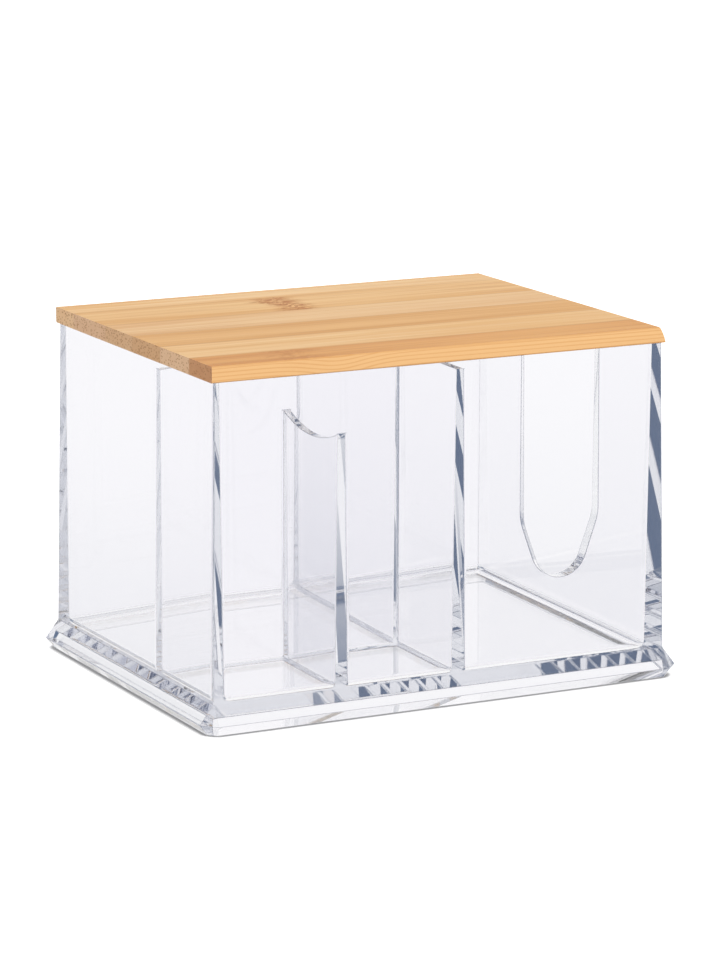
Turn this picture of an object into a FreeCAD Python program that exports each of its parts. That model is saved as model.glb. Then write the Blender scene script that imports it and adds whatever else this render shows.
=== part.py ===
import FreeCAD, Part
import math
import os

# Cotton swab holder: a clear moulded box with four compartments and a loose
# bamboo board for a lid. Millimetres. The origin is on the table under the
# middle of the box, +Z is up and the front, with the finger slot, faces -Y.

V = FreeCAD.Vector

# Lid board
lid_length = 155.0
lid_depth = 118.0
lid_thickness = 5.0
inner_strip_widths = (25.0, 20.5, 21.0, 21.0)
strips_off_middle = 0.75
lid_overhang = 0.9
lid_arris = 0.35
rounded_end_run = 2.2
rounded_end_bulge = 0.26

# Clear walls
rim_height = 106.5
wall_at_rim = 2.5
outer_draft = 0.87
inner_draft = 0.60
outer_arris = 0.3
inner_corner_radius = 0.6
floor_cove_radius = 2.5
shoulder_height = 9.15
floor_height = 8.4
floor_thickness = 4.0

# Flange round the foot
flange_reach = 4.35
ridge_height = 3.35
foot_inset = 2.7
ridge_corner_cut = 4.3
foot_corner_cut = 2.3
skirt_at_foot = 2.2

# Dividers
divider_at_top = 2.3
divider_drop = 2.9
long_divider_x = 6.6
cross_divider_y = -16.2
short_divider_x = -33.6
short_divider_top = 87.3
scoop_depth = 4.0

# Finger slot in the front wall
slot_width = 26.4
slot_bottom_height = 35.8
slot_bottom_radius = 9.2
slot_side_slant = 20.0
slot_shoulder_radius = 15.0

# How far the cores and cutters of the mould run past what they cut
run_past = 5.0

# The board sits square on the rim and overhangs it by the same amount all round
rim_length = lid_length - 2 * lid_overhang
rim_depth = lid_depth - 2 * lid_overhang


def spread(draft, drop):
    """How far a drafted face moves sideways over a drop in height."""
    return math.tan(math.radians(draft)) * drop


def outline(length, depth, corner_cut, z):
    """Corner points of a rectangle with cut corners at height z."""
    x, y, c = length / 2, depth / 2, corner_cut
    return [
        V(x - c, -y, z), V(x, -y + c, z), V(x, y - c, z), V(x - c, y, z),
        V(-x + c, y, z), V(-x, y - c, z), V(-x, -y + c, z), V(-x + c, -y, z),
    ]


def rectangle(x0, x1, y0, y1, z):
    """Corner points of a plain rectangle at height z."""
    return [V(x0, y0, z), V(x1, y0, z), V(x1, y1, z), V(x0, y1, z)]


def stacked(sections):
    """Closed solid with flat facets between outlines that have matching corners."""
    faces = [Part.Face(Part.makePolygon(ring + ring[:1])) for ring in (sections[0], sections[-1])]
    for low, high in zip(sections, sections[1:]):
        for i in range(len(low)):
            j = (i + 1) % len(low)
            corners = [low[i], low[j], high[j], high[i]]
            faces.append(Part.Face(Part.makePolygon(corners + corners[:1])))
    solid = Part.Solid(Part.Shell(faces))
    if solid.Volume < 0:
        solid.reverse()
    return solid


# Outer form of the box: foot, ridge of the flange, shoulder, rim
flare = spread(outer_draft, rim_height - shoulder_height)
shoulder_length = rim_length + 2 * flare
shoulder_depth = rim_depth + 2 * flare
ridge_length = shoulder_length + 2 * flange_reach
ridge_depth = shoulder_depth + 2 * flange_reach
foot_length = ridge_length - 2 * foot_inset
foot_depth = ridge_depth - 2 * foot_inset


def box_outside():
    return stacked([
        outline(foot_length, foot_depth, foot_corner_cut, 0),
        outline(ridge_length, ridge_depth, ridge_corner_cut, ridge_height),
        outline(shoulder_length, shoulder_depth, outer_arris, shoulder_height),
        outline(rim_length, rim_depth, outer_arris, rim_height),
    ])


# The core side of the mould: every inner face leans by the inner draft
inner_length = rim_length - 2 * wall_at_rim
inner_depth = rim_depth - 2 * wall_at_rim
core_top = rim_height + run_past


def core(z_low, z_high):
    """The whole inside of the box between two heights."""
    rings = []
    for z in (z_low, z_high):
        x = inner_length / 2 - spread(inner_draft, rim_height - z)
        y = inner_depth / 2 - spread(inner_draft, rim_height - z)
        rings.append(rectangle(-x, x, -y, y, z))
    return stacked(rings)


def half_divider(top):
    """Half thickness of a divider at the floor when its top edge is at this height."""
    return divider_at_top / 2 + spread(inner_draft, top - floor_height)


def divider(top, along, start, end, centre):
    """Tapered rib from the floor to its top edge, along X or Y."""
    thin = divider_at_top / 2
    thick = half_divider(top)
    profile = [(-thick, floor_height), (thick, floor_height), (thin, top), (-thin, top)]
    if along == "Y":
        points = [V(centre + s, start, z) for s, z in profile]
        sweep = V(0, end - start, 0)
    else:
        points = [V(start, centre + s, z) for s, z in profile]
        sweep = V(end - start, 0, 0)
    return Part.Face(Part.makePolygon(points + points[:1])).extrude(sweep)


def scoop():
    """Cylinder that hollows the top edge of the short divider for a fingertip."""
    front = -inner_depth / 2 + spread(inner_draft, rim_height - short_divider_top)
    back = cross_divider_y - divider_at_top / 2
    back -= spread(inner_draft, tall_divider_top - short_divider_top)
    half_span = (back - front) / 2
    radius = (half_span ** 2 + scoop_depth ** 2) / (2 * scoop_depth)
    start = short_divider_x - divider_at_top - run_past
    length = 2 * (divider_at_top + run_past)
    middle = V(start, (front + back) / 2, short_divider_top - scoop_depth + radius)
    return Part.makeCylinder(radius, length, middle, V(1, 0, 0))


tall_divider_top = rim_height - divider_drop


def compartments():
    """The space inside the box, less the three dividers."""
    half_y = shoulder_depth / 2
    half_x = shoulder_length / 2
    long_rib = divider(tall_divider_top, "Y", -half_y, half_y, long_divider_x)
    cross_rib = divider(tall_divider_top, "X", -half_x, long_divider_x, cross_divider_y)
    short_rib = divider(short_divider_top, "Y", -half_y, cross_divider_y, short_divider_x)
    short_rib = short_rib.cut(scoop())
    ribs = long_rib.fuse([cross_rib, short_rib])
    space = core(floor_height, core_top).cut(ribs)
    return space


def round_inner_corners(space):
    """Rounds the compartments: a wide cove where the floor meets an outer wall,
    and a small radius in every other inner corner."""
    wall_x = inner_length / 2 - spread(inner_draft, rim_height - floor_height)
    wall_y = inner_depth / 2 - spread(inner_draft, rim_height - floor_height)
    radii = []
    for number, edge in enumerate(space.Edges, start=1):
        box = edge.BoundBox
        upright = box.ZLength > floor_height and box.ZMin < floor_height + 1
        on_floor = box.ZMax < floor_height + 0.01
        along_side = box.XLength < 0.01 and abs(abs(box.XMin) - wall_x) < 0.01
        along_front = box.YLength < 0.01 and abs(abs(box.YMin) - wall_y) < 0.01
        if on_floor and (along_side or along_front):
            radii.append((number, floor_cove_radius, floor_cove_radius))
        elif on_floor or upright:
            radii.append((number, inner_corner_radius, inner_corner_radius))
    bench = FreeCAD.newDocument("bench")
    blank = bench.addObject("Part::Feature", "compartments")
    blank.Shape = space
    rounded = bench.addObject("Part::Fillet", "rounded_compartments")
    rounded.Base = blank
    rounded.Edges = radii
    bench.recompute()
    return rounded.Shape.copy()


def underside():
    """Hollow under the floor, inside the skirt of the flange."""
    roof = floor_height - floor_thickness
    rings = []
    for z in (-run_past, roof):
        x = foot_length / 2 - skirt_at_foot - spread(inner_draft, z)
        y = foot_depth / 2 - skirt_at_foot - spread(inner_draft, z)
        rings.append(rectangle(-x, x, -y, y, z))
    return stacked(rings)


def finger_slot():
    """U-shaped opening through the front wall, centred on the right compartment."""
    mid_height = (slot_bottom_height + rim_height) / 2
    rib_side = long_divider_x + divider_at_top / 2
    rib_side += spread(inner_draft, tall_divider_top - mid_height)
    wall_side = inner_length / 2 - spread(inner_draft, rim_height - mid_height)
    centre_x = (rib_side + wall_side) / 2

    half = slot_width / 2
    slant = math.radians(slot_side_slant)
    arc_centre_z = slot_bottom_height + slot_bottom_radius
    arc_x = slot_bottom_radius * math.cos(slant)
    arc_z = arc_centre_z - slot_bottom_radius * math.sin(slant)
    bend_z = arc_z + (half - arc_x) / math.tan(slant)
    setback = slot_shoulder_radius * math.tan(slant / 2)
    low = (half - setback * math.sin(slant), bend_z - setback * math.cos(slant))
    high = (half, bend_z + setback)
    turn = slant / 2
    mid_arc = (
        half - slot_shoulder_radius * (1 - math.cos(turn)),
        high[1] - slot_shoulder_radius * math.sin(turn),
    )
    y = -shoulder_depth / 2 - run_past
    reach = shoulder_depth / 2 - inner_depth / 2 + wall_at_rim + 2 * run_past

    def at(side, point):
        return V(centre_x + side * point[0], y, point[1])

    top = core_top
    edges = []
    for side in (-1, 1):
        edges.append(Part.LineSegment(at(side, (half, top)), at(side, high)).toShape())
        edges.append(Part.Arc(at(side, high), at(side, mid_arc), at(side, low)).toShape())
        edges.append(Part.LineSegment(at(side, low), at(side, (arc_x, arc_z))).toShape())
    bottom = (0, slot_bottom_height)
    edges.append(Part.Arc(at(-1, (arc_x, arc_z)), at(1, bottom), at(1, (arc_x, arc_z))).toShape())
    edges.append(Part.LineSegment(at(-1, (half, top)), at(1, (half, top))).toShape())
    wire = Part.Wire(Part.__sortEdges__(edges))
    return Part.Face(wire).extrude(V(0, reach, 0))


def clear_box():
    space = round_inner_corners(compartments())
    box = box_outside().cut([space, underside(), finger_slot()])
    return box.removeSplitter()


def lid_profile(y):
    """Long section of the board: square left end, rounded right end."""
    x = lid_length / 2
    z0 = rim_height
    z1 = z0 + lid_thickness
    end_low = V(x, y, z0)
    end_high = V(x - rounded_end_run, y, z1)
    chord = end_high - end_low
    outward = V(chord.z, 0, -chord.x).normalize()
    end_mid = (end_low + end_high) * 0.5 + outward * rounded_end_bulge
    left_low = V(-x, y, z0)
    left_high = V(-x, y, z1)
    return Part.Face(Part.Wire([
        Part.LineSegment(left_low, end_low).toShape(),
        Part.Arc(end_low, end_mid, end_high).toShape(),
        Part.LineSegment(end_high, left_high).toShape(),
        Part.LineSegment(left_high, left_low).toShape(),
    ]))


def soften(strip, y_face):
    """Takes the sharp edge off the long outer edges of the first and last strip."""
    edges = []
    for edge in strip.Edges:
        box = edge.BoundBox
        if box.XLength > lid_length / 2 and abs(box.YMin - y_face) < 0.01 and box.YLength < 0.01:
            edges.append(edge)
    return strip.makeChamfer(lid_arris, edges)


def lid_strips():
    """The strips of the board from the back to the front. The board is sawn out of
    a wider glued panel, so the first and last strips are what the saw left of them."""
    remainder = lid_depth - sum(inner_strip_widths)
    first = remainder / 2 - strips_off_middle
    last = remainder / 2 + strips_off_middle
    strips = []
    back = lid_depth / 2
    for width in (first,) + inner_strip_widths + (last,):
        strips.append(lid_profile(back).extrude(V(0, -width, 0)))
        back -= width
    strips[0] = soften(strips[0], lid_depth / 2)
    strips[-1] = soften(strips[-1], -lid_depth / 2)
    return strips


os.makedirs("parts", exist_ok=True)
clear_box().exportStep("parts/clear_box.step")
for number, strip in enumerate(lid_strips(), start=1):
    strip.exportStep("parts/lid_strip_%d.step" % number)
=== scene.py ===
import math
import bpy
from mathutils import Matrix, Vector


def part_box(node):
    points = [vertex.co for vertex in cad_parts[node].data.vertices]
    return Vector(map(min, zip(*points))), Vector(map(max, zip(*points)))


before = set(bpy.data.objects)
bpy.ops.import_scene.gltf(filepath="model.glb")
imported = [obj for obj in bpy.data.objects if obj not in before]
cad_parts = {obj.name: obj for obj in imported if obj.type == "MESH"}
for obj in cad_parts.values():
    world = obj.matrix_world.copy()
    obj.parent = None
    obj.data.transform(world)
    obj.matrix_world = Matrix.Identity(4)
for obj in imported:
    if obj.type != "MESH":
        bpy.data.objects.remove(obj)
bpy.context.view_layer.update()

from types import SimpleNamespace

import bpy
from mathutils import Matrix

scene = bpy.context.scene
scene.view_settings.view_transform = "Standard"


# The camera stands about 1.3 m off the front left corner and looks down on the
# box by twelve degrees, as in the photograph. Its frame is 720 by 960.
camera_data = bpy.data.cameras.new("camera")
camera_data.sensor_width = 36.0
camera_data.lens = 151.68
camera_data.clip_start = 0.05
camera_data.clip_end = 50.0
camera = bpy.data.objects.new("camera", camera_data)
scene.collection.objects.link(camera)
camera_place = (-0.5664, -1.1175, 0.3265)
camera_yaw = math.radians(26.927)
camera_pitch = math.radians(12.0517)
camera_roll = math.radians(0.1034)
camera.matrix_world = (
    Matrix.Translation(camera_place)
    @ Matrix.Rotation(-camera_yaw, 4, "Z")
    @ Matrix.Rotation(math.pi / 2 - camera_pitch, 4, "X")
    @ Matrix.Rotation(camera_roll, 4, "Z")
)
scene.camera = camera


# The studio is white all round. What the clear plastic reflects, outside or within
# its walls, is darker on the left and a little darker in front and low on the
# right, and that is what draws its dark blue lines.
most_reflections = 128
scene.cycles.max_bounces = most_reflections
scene.cycles.transmission_bounces = most_reflections
scene.cycles.glossy_bounces = most_reflections


def put(tree, kind, inputs=None, **settings):
    """Adds a shader node with its settings, and gives its sockets values or links."""
    made = tree.nodes.new("ShaderNode" + kind)
    for name, value in settings.items():
        setattr(made, name, value)
    for name, value in (inputs or {}).items():
        if isinstance(value, bpy.types.NodeSocket):
            tree.links.new(value, made.inputs[name])
        else:
            made.inputs[name].default_value = value
    return made


def maths(tree, operation, first, second=0.0):
    return put(tree, "Math", {0: first, 1: second}, operation=operation).outputs[0]


def ramp(tree, value, start, end, low=0.0, high=1.0):
    """Runs smoothly from low to high as the value goes from start to end."""
    sockets = {"Value": value, "From Min": start, "From Max": end, "To Min": low, "To Max": high}
    return put(tree, "MapRange", sockets, interpolation_type="SMOOTHSTEP").outputs["Result"]


def blend_colour(tree, factor, first, second):
    sockets = {0: factor, 6: first, 7: second}
    return put(tree, "Mix", sockets, data_type="RGBA", blend_type="MIX").outputs[2]


world = bpy.data.worlds.new("studio")
scene.world = world
world.use_nodes = True
sky = world.node_tree
sky.nodes.clear()

# Each pair below is a part of the way towards one side of the studio, between where
# a dark card starts to show and where it is in full. Minus is left, front or down.
toward = put(sky, "SeparateXYZ", {0: put(sky, "TexCoord").outputs["Generated"]})
to_right, to_back, to_top = (toward.outputs[axis] for axis in "XYZ")
left_card = (-0.12, -0.36)
left_card_above = (-0.10, 0.05)
left_card_below = (-0.24, -0.32)
left_card_fade = (0.1, -0.6)
left_card_in_front = 0.2
left = ramp(sky, to_right, *left_card)
above = ramp(sky, to_top, *left_card_above)
below = ramp(sky, to_top, *left_card_below)
shade = maths(sky, "MULTIPLY", left, maths(sky, "MAXIMUM", above, below))
fade = ramp(sky, to_back, *left_card_fade, 1.0, left_card_in_front)
shade = maths(sky, "MULTIPLY", shade, fade)
right_card = (0.50, 0.70)
right_card_depth = 0.45
right_card_below = (-0.25, -0.45)
right = ramp(sky, to_right, *right_card, 0.0, right_card_depth)
right_below = maths(sky, "MULTIPLY", right, ramp(sky, to_top, *right_card_below))
front_card = (-0.50, -0.75)
front_card_depth = 0.16
front = ramp(sky, to_back, *front_card, 0.0, front_card_depth)
shade = maths(sky, "MAXIMUM", shade, maths(sky, "MAXIMUM", right_below, front))

# Only reflections see the cards. The rays that light the object see a softer white.
ray = put(sky, "LightPath")
reflected = maths(sky, "GREATER_THAN", ray.outputs["Glossy Depth"], 0.5)
shade = maths(sky, "MULTIPLY", shade, reflected)
seen = maths(sky, "MAXIMUM", ray.outputs["Is Camera Ray"], ray.outputs["Is Transmission Ray"])
seen = maths(sky, "MAXIMUM", seen, reflected)
lighting_white = (0.86, 0.86, 0.86, 1)
seen_white = (1, 1, 1, 1)
card_blue = (0.13, 0.18, 0.28, 1)
sky_white = blend_colour(sky, seen, lighting_white, seen_white)
sky_colour = blend_colour(sky, shade, sky_white, card_blue)
sky_light = put(sky, "Background", {"Color": sky_colour})
put(sky, "OutputWorld", {"Surface": sky_light.outputs[0]})

# A large soft lamp stands in front, beside the camera.
lamp_data = bpy.data.lights.new("front_lamp", "AREA")
lamp_data.shape = "DISK"
lamp_data.size = 1.4
lamp_data.energy = 15.0
lamp = bpy.data.objects.new("front_lamp", lamp_data)
scene.collection.objects.link(lamp)
lamp_place = (0.25, -2.1, 0.9)
lamp_turn = math.radians(7)
lamp_tilt = math.radians(69)
lamp.matrix_world = (
    Matrix.Translation(lamp_place)
    @ Matrix.Rotation(lamp_turn, 4, "Z")
    @ Matrix.Rotation(lamp_tilt, 4, "X")
)
lamp.visible_camera = False
lamp.visible_glossy = False
lamp.visible_transmission = False


# The table is a plain white sheet. It keeps the shadow of the box. The thin dark line
# where the foot stands on it is a painted contact shadow, drawn where ambient occlusion
# finds the foot close by. Inner reflections in the plastic look past it, as they do at
# the edge of a small table.
bpy.ops.mesh.primitive_plane_add(size=8.0, location=(0, 0, 0))
floor = bpy.context.object
floor.name = "floor"
paper = bpy.data.materials.new("white_sheet")
paper.use_nodes = True
sheet = paper.node_tree
sheet.nodes.clear()
path = put(sheet, "LightPath")
sheet_white = (0.8, 0.8, 0.8, 1)
sheet_glow = 0.7
matt = put(sheet, "BsdfDiffuse", {"Color": sheet_white})
glow_seen = maths(sheet, "MULTIPLY", path.outputs["Is Camera Ray"], sheet_glow)
glow = put(sheet, "Emission", {"Strength": glow_seen})
lit = put(sheet, "AddShader", {0: matt.outputs[0], 1: glow.outputs[0]})

# Painted contact shadow: a dark grey glow mixed into the sheet where ambient occlusion finds the foot
# within a few millimetres.
contact_reach = 0.0022
contact_open, contact_closed = 0.85, 0.3
contact_depth = 0.85
painted_shadow_grey = (0.12, 0.12, 0.13, 1)
near = put(sheet, "AmbientOcclusion", {"Distance": contact_reach}, samples=8).outputs["AO"]
dark = put(sheet, "Emission", {"Color": painted_shadow_grey})
painted_shadow_mask = ramp(sheet, near, contact_open, contact_closed, 0.0, contact_depth)
lit = put(sheet, "MixShader", {0: painted_shadow_mask, 1: lit.outputs[0], 2: dark.outputs[0]})

through_white = (0.98, 0.98, 1.0, 1)
through_share = 0.95
white = put(sheet, "Emission", {"Color": through_white})
through = maths(sheet, "MULTIPLY", path.outputs["Is Transmission Ray"], through_share)
shown = put(sheet, "MixShader", {0: through, 1: lit.outputs[0], 2: white.outputs[0]})
inner = maths(sheet, "GREATER_THAN", path.outputs["Glossy Depth"], 0.5)
clear_view = put(sheet, "BsdfTransparent")
surface = put(sheet, "MixShader", {0: inner, 1: shown.outputs[0], 2: clear_view.outputs[0]})
put(sheet, "OutputMaterial", {"Surface": surface.outputs[0]})
floor.data.materials.append(paper)


# The clear box is one injection moulding of polished, crystal-clear plastic. Its faces
# are a little wavy and its edges are softened. The thin dark lines along the edges are
# painted shade in the base colour, standing in for the dark refractions there. Deep
# plastic looks grey blue. The foot is a little less polished than the walls.
clear = bpy.data.materials.new("clear_plastic")
clear.use_nodes = True
glass = clear.node_tree
place = put(glass, "TexCoord").outputs["Object"]
swell_scale = 28.0
swell_strength = 0.2
swell_height = 0.0001
swell = put(glass, "TexNoise", {"Vector": place, "Scale": swell_scale, "Detail": 1.0}).outputs["Fac"]
height = put(glass, "SeparateXYZ", {0: place}).outputs["Z"]

edge_radius = 0.00045
# Painted shade: the base colour turns dark navy wherever the softened edge normal turns away from the
# face, drawing dark lines along every edge.
edge_starts, edge_full = 0.98, 0.82
face_tint = (0.995, 0.991, 1.0, 1)
painted_edge_shade_tint = (0.05, 0.06, 0.10, 1)
soft_edge = put(glass, "Bevel", {"Radius": edge_radius}, samples=6).outputs["Normal"]
flat_face = put(glass, "NewGeometry").outputs["Normal"]
turned = put(glass, "VectorMath", {0: soft_edge, 1: flat_face}, operation="DOT_PRODUCT").outputs["Value"]
painted_edge_shade_mask = ramp(glass, turned, edge_starts, edge_full)
tint = blend_colour(glass, painted_edge_shade_mask, face_tint, painted_edge_shade_tint)
wavy_sockets = {"Strength": swell_strength, "Distance": swell_height, "Height": swell, "Normal": soft_edge}
wavy = put(glass, "Bump", wavy_sockets)

clear_shader = glass.nodes["Principled BSDF"]
glass.links.new(tint, clear_shader.inputs["Base Color"])
clear_shader.inputs["IOR"].default_value = 1.49
clear_shader.inputs["Transmission Weight"].default_value = 1.0
walls_above, foot_below = 0.0098, 0.0085
foot_roughness = 0.012
foot_polish = ramp(glass, height, walls_above, foot_below, 0.0, foot_roughness)
glass.links.new(foot_polish, clear_shader.inputs["Roughness"])
glass.links.new(wavy.outputs["Normal"], clear_shader.inputs["Normal"])
deep_blue = (0.40, 0.43, 0.55, 1)
deep_density = 3.8
depth_tint = put(glass, "VolumeAbsorption", {"Color": deep_blue, "Density": deep_density})
glass.links.new(depth_tint.outputs[0], glass.nodes["Material Output"].inputs["Volume"])
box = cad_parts["clear_box"]
box.data.materials.clear()
box.data.materials.append(clear)


# The lid is a board of six bamboo strips, pressed flat and glued edge to edge, then
# sanded and lacquered. Strip 1 is the rear one, sawn narrow: pale and even.
def bamboo(name, seed, pale, deep):
    """Bamboo with its fibres along X: broad tones, fine streaks, thin brown veins and
    a darker line along each glued edge. Returns what its later marks need."""
    material = bpy.data.materials.new(name)
    material.use_nodes = True
    wood = material.node_tree
    coords = put(wood, "TexCoord")
    low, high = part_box(name)
    place = coords.outputs["Object"]
    xyz = put(wood, "SeparateXYZ", {0: place})
    facing = put(wood, "SeparateXYZ", {0: coords.outputs["Normal"]})

    # the grain wanders a little as it runs
    bend_scale = (14, 30, 30)
    bend_reach = (0.0, 0.0016, 0.0008)
    bend_at = put(wood, "Mapping", {0: place, "Location": (seed, 0, 0), "Scale": bend_scale})
    bend = put(wood, "TexNoise", {"Vector": bend_at.outputs[0], "Scale": 1.0, "Detail": 0.0})
    bend_by = put(wood, "VectorMath", {0: bend.outputs["Color"], 1: bend_reach}, operation="MULTIPLY")
    grain = put(wood, "VectorMath", {0: place, 1: bend_by.outputs[0]}).outputs[0]

    def along_grain(scale, detail):
        at = put(wood, "Mapping", {0: grain, "Location": (seed, seed, 0), "Scale": scale})
        sockets = {"Vector": at.outputs[0], "Scale": 1.0, "Detail": detail, "Roughness": 0.6}
        return put(wood, "TexNoise", sockets).outputs["Fac"]

    broad = along_grain((6, 90, 200), 1.0)
    streak = along_grain((10, 420, 500), 2.0)
    fibre = along_grain((55, 2300, 2300), 2.0)
    broad_share, streak_share, fibre_share = 0.9, 0.75, 0.5
    tone_spread = 0.30
    broad_tone = maths(wood, "MULTIPLY", broad, broad_share)
    tone = maths(wood, "ADD", broad_tone, maths(wood, "MULTIPLY", streak, streak_share))
    tone = maths(wood, "ADD", tone, maths(wood, "MULTIPLY", fibre, fibre_share))
    middle = 0.5 * (broad_share + streak_share + fibre_share)
    tone = ramp(wood, tone, middle - tone_spread, middle + tone_spread)
    colour = blend_colour(wood, tone, deep, pale)

    vein_starts, vein_full = 0.53, 0.70
    vein_depth = 0.45
    vein_brown = (0.60, 0.27, 0.08, 1)
    vein = ramp(wood, along_grain((13, 1000, 1000), 3.0), vein_starts, vein_full)
    vein = maths(wood, "MULTIPLY", vein, vein_depth)
    colour = blend_colour(wood, vein, colour, vein_brown)

    glue_width = 0.0010
    glue_depth = 0.35
    glue_brown = (0.55, 0.28, 0.11, 1)
    for edge in (low[1], high[1]):
        off = maths(wood, "ABSOLUTE", maths(wood, "SUBTRACT", xyz.outputs["Y"], edge))
        line = maths(wood, "MULTIPLY", ramp(wood, off, glue_width, 0.0), glue_depth)
        colour = blend_colour(wood, line, colour, glue_brown)
    return SimpleNamespace(
        name=name, seed=seed, material=material, wood=wood, colour=colour,
        grain=grain, fibre=fibre, xyz=xyz, facing=facing,
    )


def node_mark(strip, where, width, strength, seed):
    """The scar of a stem joint: a band of short dark swirls right across the strip."""
    wood = strip.wood
    raggedness = width * 1.6
    band_core = width * 0.2
    ragged_sockets = {0: strip.grain, "Location": (seed, 0, 0), "Scale": (40, 190, 190)}
    ragged_at = put(wood, "Mapping", ragged_sockets).outputs[0]
    ragged = put(wood, "TexNoise", {"Vector": ragged_at, "Scale": 1.0, "Detail": 2.0}).outputs["Fac"]
    off = maths(wood, "SUBTRACT", strip.xyz.outputs["X"], maths(wood, "MULTIPLY", ragged, raggedness))
    off = maths(wood, "ABSOLUTE", maths(wood, "SUBTRACT", off, where - 0.5 * raggedness))
    band = ramp(wood, off, width, band_core)
    swirl_sockets = {0: strip.grain, "Location": (seed, 0, 0), "Scale": (170, 300, 300)}
    swirl_at = put(wood, "Mapping", swirl_sockets).outputs[0]
    sockets = {"Vector": swirl_at, "Scale": 1.0, "Detail": 3.0, "Roughness": 0.6, "Distortion": 1.6}
    swirl = put(wood, "TexNoise", sockets).outputs["Fac"]
    off_middle = maths(wood, "ABSOLUTE", maths(wood, "SUBTRACT", swirl, 0.5))
    thread_edge, thread_core = 0.10, 0.03
    thread = ramp(wood, off_middle, thread_edge, thread_core)
    thread_share, plain_share = 0.85, 0.15
    mark = maths(wood, "ADD", maths(wood, "MULTIPLY", thread, thread_share), plain_share)
    mark = maths(wood, "MULTIPLY", band, mark)
    mark = maths(wood, "MULTIPLY", mark, strength)
    scar_brown = (0.52, 0.19, 0.04, 1)
    strip.colour = blend_colour(wood, mark, strip.colour, scar_brown)


def finish_bamboo(strip, end_tone):
    """End grain with its dots on the sawn ends, then the satin lacquer and a fine relief."""
    wood = strip.wood
    end_starts, end_full = 0.6, 0.9
    end = ramp(wood, maths(wood, "ABSOLUTE", strip.facing.outputs["X"]), end_starts, end_full)
    bundle_scale = (0, 850, 1400)
    bundle_sockets = {0: strip.grain, "Location": (0, strip.seed, strip.seed), "Scale": bundle_scale}
    bundle_at = put(wood, "Mapping", bundle_sockets).outputs[0]
    bundle = put(wood, "TexVoronoi", {"Vector": bundle_at, "Scale": 1.0}, feature="F1").outputs["Distance"]
    dot_rim, dot_core = 0.45, 0.2
    dot = ramp(wood, bundle, dot_rim, dot_core)
    dot_depth = 0.8
    dot_brown = (0.33, 0.14, 0.06, 1)
    face_share = 0.2
    end_colour = blend_colour(wood, maths(wood, "MULTIPLY", dot, dot_depth), end_tone, dot_brown)
    end_colour = blend_colour(wood, face_share, end_colour, strip.colour)
    colour = blend_colour(wood, end, strip.colour, end_colour)
    relief_strength = 0.25
    relief_height = 0.00008
    relief_sockets = {"Strength": relief_strength, "Distance": relief_height, "Height": strip.fibre}
    relief = put(wood, "Bump", relief_sockets)
    shader = wood.nodes["Principled BSDF"]
    shader.inputs["Specular IOR Level"].default_value = 0.1
    wood.links.new(colour, shader.inputs["Base Color"])
    fibre_low, fibre_high = 0.2, 0.8
    smoothest, roughest = 0.42, 0.55
    sheen = ramp(wood, strip.fibre, fibre_low, fibre_high, smoothest, roughest)
    wood.links.new(sheen, shader.inputs["Roughness"])
    wood.links.new(relief.outputs["Normal"], shader.inputs["Normal"])
    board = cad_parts[strip.name]
    board.data.materials.clear()
    board.data.materials.append(strip.material)


strip = bamboo("lid_strip_1", 1.3, pale=(0.95, 0.66, 0.36, 1), deep=(0.84, 0.48, 0.19, 1))
finish_bamboo(strip, end_tone=(0.80, 0.52, 0.30, 1))


# Strip 2 is the widest. It has the scar of a stem joint left of its middle, and
# orange streaks towards its right end.
strip = bamboo("lid_strip_2", 4.7, pale=(0.90, 0.58, 0.27, 1), deep=(0.77, 0.41, 0.14, 1))
wood = strip.wood
run_at = put(wood, "Mapping", {0: strip.grain, "Location": (2.0, 0.4, 0), "Scale": (22, 520, 0)})
run = put(wood, "TexNoise", {"Vector": run_at.outputs[0], "Scale": 1.0, "Detail": 2.0}).outputs["Fac"]
orange_starts, orange_full = 0.52, 0.66
right_end_from, right_end_full = 0.02, 0.06
orange_depth = 0.4
streak_orange = (0.66, 0.30, 0.10, 1)
orange = ramp(wood, run, orange_starts, orange_full)
right_end = ramp(wood, strip.xyz.outputs["X"], right_end_from, right_end_full)
orange = maths(wood, "MULTIPLY", orange, right_end)
orange = maths(wood, "MULTIPLY", orange, orange_depth)
strip.colour = blend_colour(wood, orange, strip.colour, streak_orange)
node_mark(strip, where=-0.0105, width=0.0095, strength=1.0, seed=3.1)
finish_bamboo(strip, end_tone=(0.74, 0.48, 0.31, 1))


# Strip 3 is pale.
strip = bamboo("lid_strip_3", 8.2, pale=(0.88, 0.58, 0.30, 1), deep=(0.77, 0.43, 0.18, 1))
finish_bamboo(strip, end_tone=(0.70, 0.44, 0.25, 1))


# Strip 4 is darker, with a brown cast.
strip = bamboo("lid_strip_4", 11.9, pale=(0.83, 0.48, 0.19, 1), deep=(0.70, 0.34, 0.10, 1))
finish_bamboo(strip, end_tone=(0.66, 0.40, 0.22, 1))


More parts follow.
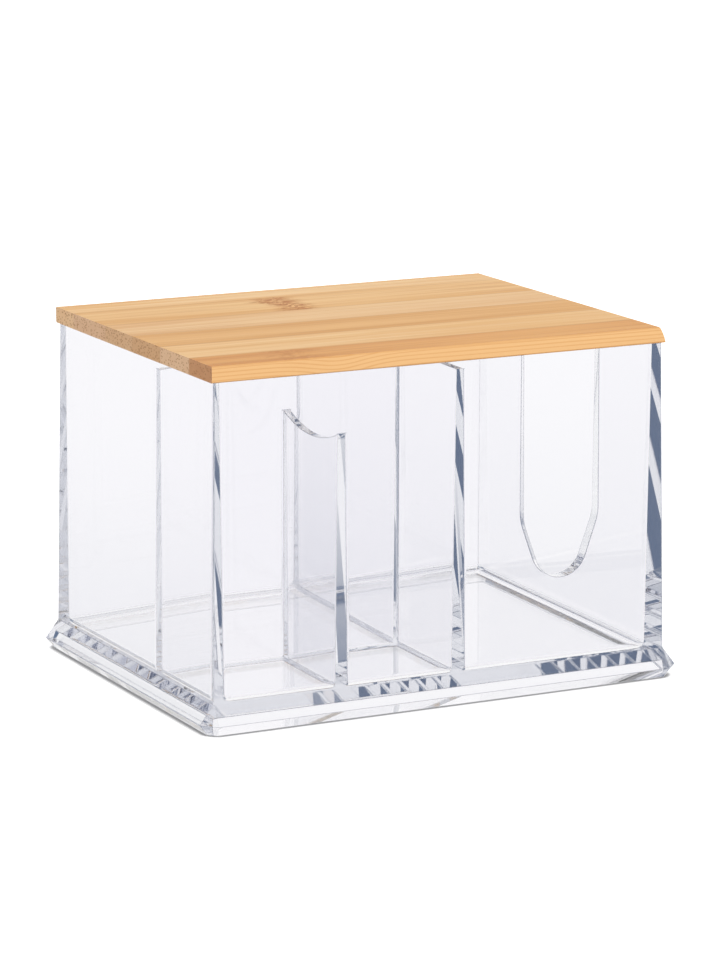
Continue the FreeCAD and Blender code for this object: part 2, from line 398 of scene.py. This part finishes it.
# Strip 5 is pale again.
strip = bamboo("lid_strip_5", 15.4, pale=(0.93, 0.63, 0.33, 1), deep=(0.82, 0.47, 0.18, 1))
finish_bamboo(strip, end_tone=(0.76, 0.50, 0.32, 1))


# Strip 6 is the front one: orange brown on top, with a faint scar near its left end,
# and a lighter front edge that shows the fibres as long lines.
strip = bamboo("lid_strip_6", 19.1, pale=(0.81, 0.42, 0.14, 1), deep=(0.63, 0.25, 0.06, 1))
node_mark(strip, where=-0.047, width=0.012, strength=0.5, seed=5.9)
wood = strip.wood
arch_middle = -0.036
arch_half_width = 0.012
arch_rise = 0.0022
lines_per_metre = 5200.0
line_drift = 9.0
off_arch = maths(wood, "SUBTRACT", strip.xyz.outputs["X"], arch_middle)
off_arch = maths(wood, "DIVIDE", off_arch, arch_half_width)
arch = maths(wood, "MULTIPLY", maths(wood, "MULTIPLY", off_arch, off_arch), -1.0)
arch = maths(wood, "EXPONENT", arch)
rise = maths(wood, "ADD", strip.xyz.outputs["Z"], maths(wood, "MULTIPLY", arch, arch_rise))
drift_at = put(wood, "Mapping", {0: strip.grain, "Scale": (9, 9, 300)})
drift = put(wood, "TexNoise", {"Vector": drift_at.outputs[0], "Scale": 1.0, "Detail": 2.0}).outputs["Fac"]
rings = maths(wood, "MULTIPLY", rise, lines_per_metre)
rings = maths(wood, "ADD", rings, maths(wood, "MULTIPLY", drift, line_drift))
line_starts, line_full = 0.35, 0.95
lines = ramp(wood, maths(wood, "SINE", rings), line_starts, line_full)
front_starts, front_full = 0.5, 0.9
front_face = ramp(wood, maths(wood, "ABSOLUTE", strip.facing.outputs["Y"]), front_starts, front_full)
front_pale = (0.88, 0.54, 0.25, 1)
front_line = (0.66, 0.30, 0.09, 1)
front_line_depth = 0.45
front_share = 0.85
lines = maths(wood, "MULTIPLY", lines, front_line_depth)
front_colour = blend_colour(wood, lines, front_pale, front_line)
front_face = maths(wood, "MULTIPLY", front_face, front_share)
strip.colour = blend_colour(wood, front_face, strip.colour, front_colour)
finish_bamboo(strip, end_tone=(0.56, 0.29, 0.15, 1))
